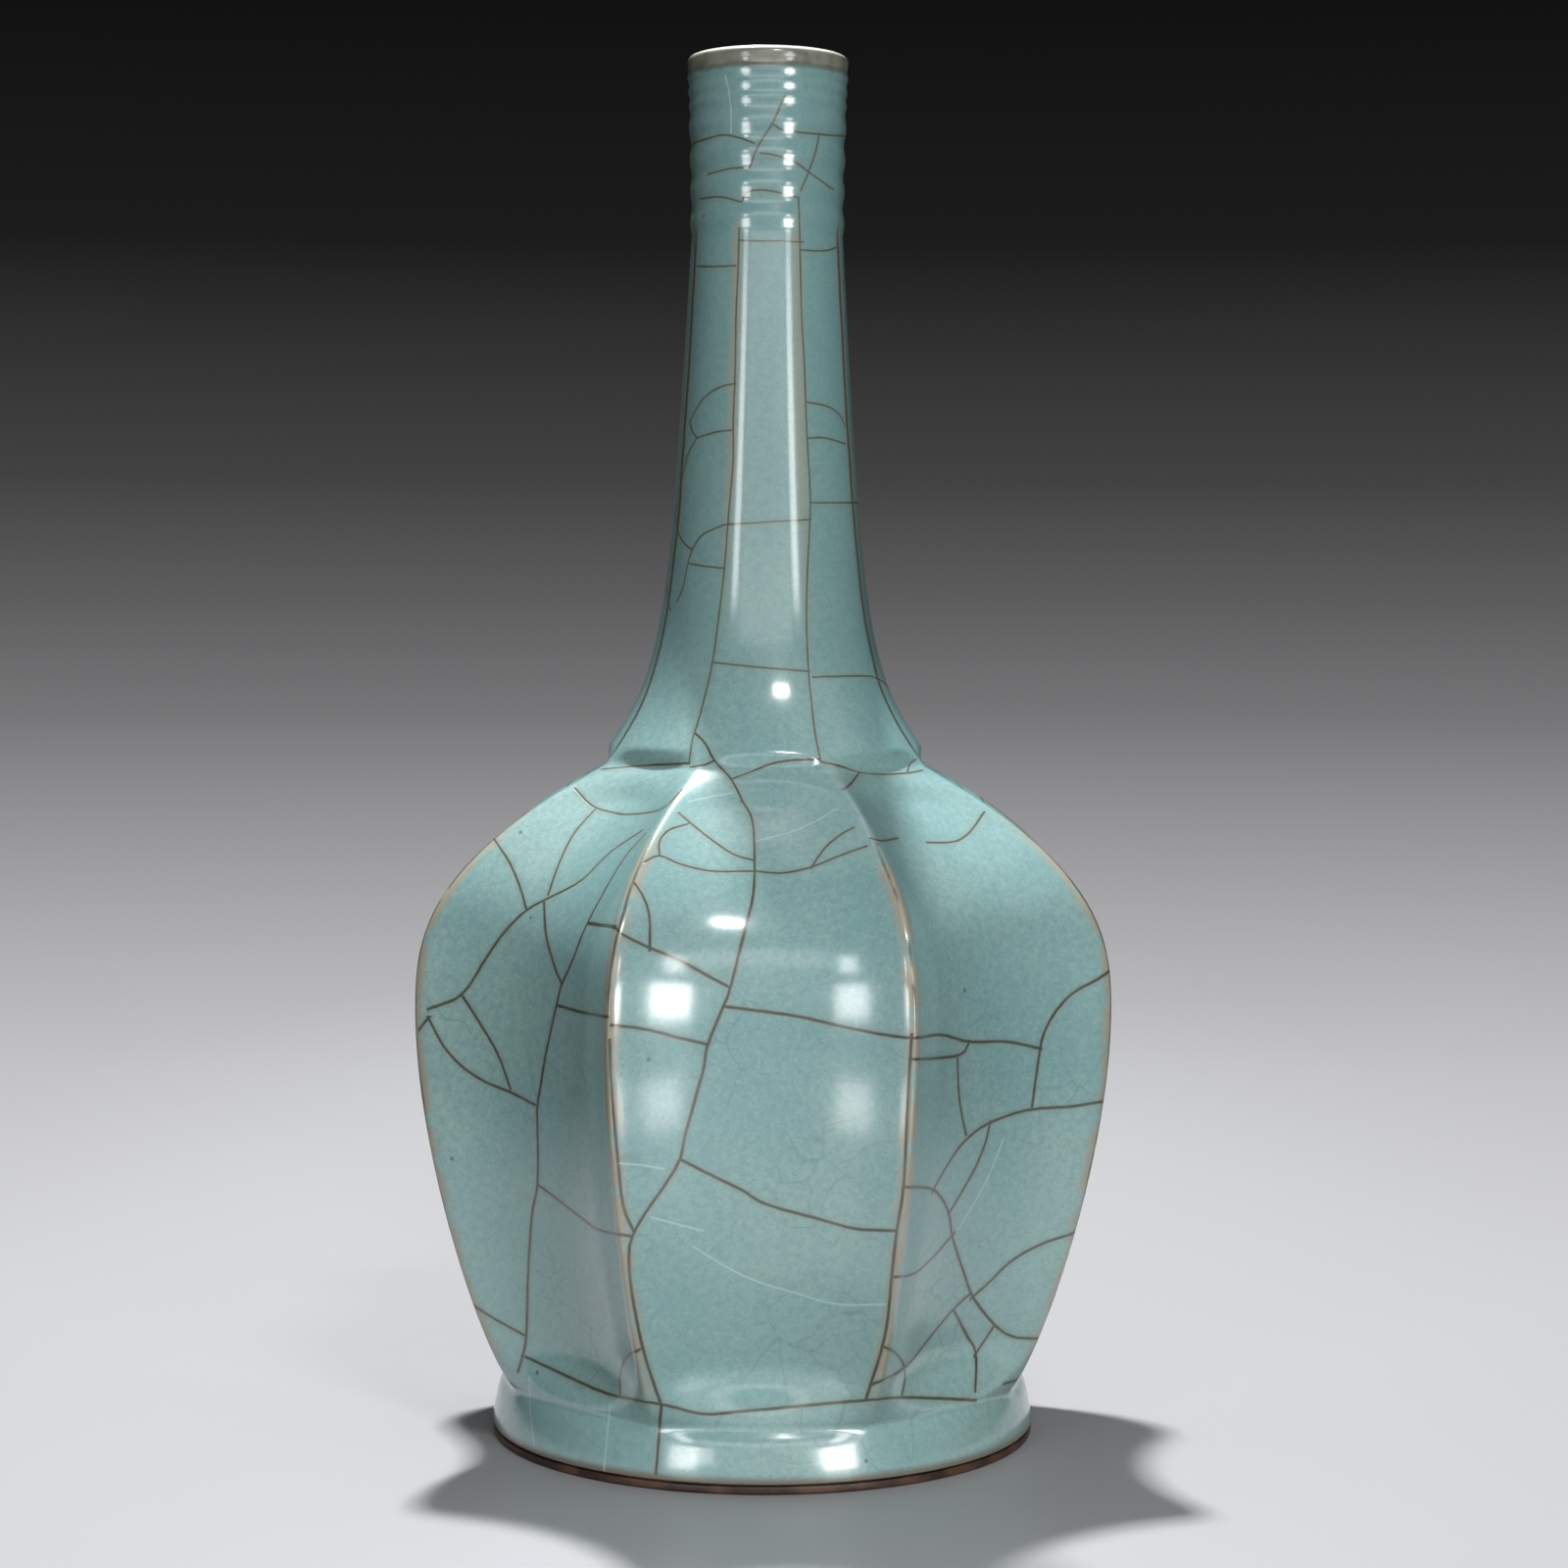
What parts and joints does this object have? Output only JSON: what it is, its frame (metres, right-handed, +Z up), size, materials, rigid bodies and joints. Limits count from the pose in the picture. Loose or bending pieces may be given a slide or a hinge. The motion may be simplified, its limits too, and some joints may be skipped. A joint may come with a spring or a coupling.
{
  "type": "bottle vase",
  "caption": "Octagonal long-necked bottle vase with hollow body panels, a ringed round mouth and a splayed foot ring, in crackled celadon glaze.",
  "frame": {"origin": "centre of the foot ring, on the surface that the vase stands on", "axes": "+Z up along the axis of the vase, towards the mouth; the middle of the front panel faces -Y"},
  "size_m": [0.1468, 0.1468, 0.3],
  "materials": {
    "celadon": "polished",
    "inside_celadon": "gloss",
    "clay": "matte",
    "bare_rim": "satin"
  },
  "bodies": {
    "root": {"foot_ring": "bare_rim", "base_slab": "clay", "belly_section": "clay", "shoulder_section": "clay", "neck_section": "clay", "mouth_section": "clay", "outer_glaze": "celadon", "inner_glaze": "inside_celadon", "base_glaze": "inside_celadon"}
  },
  "joints": []
}
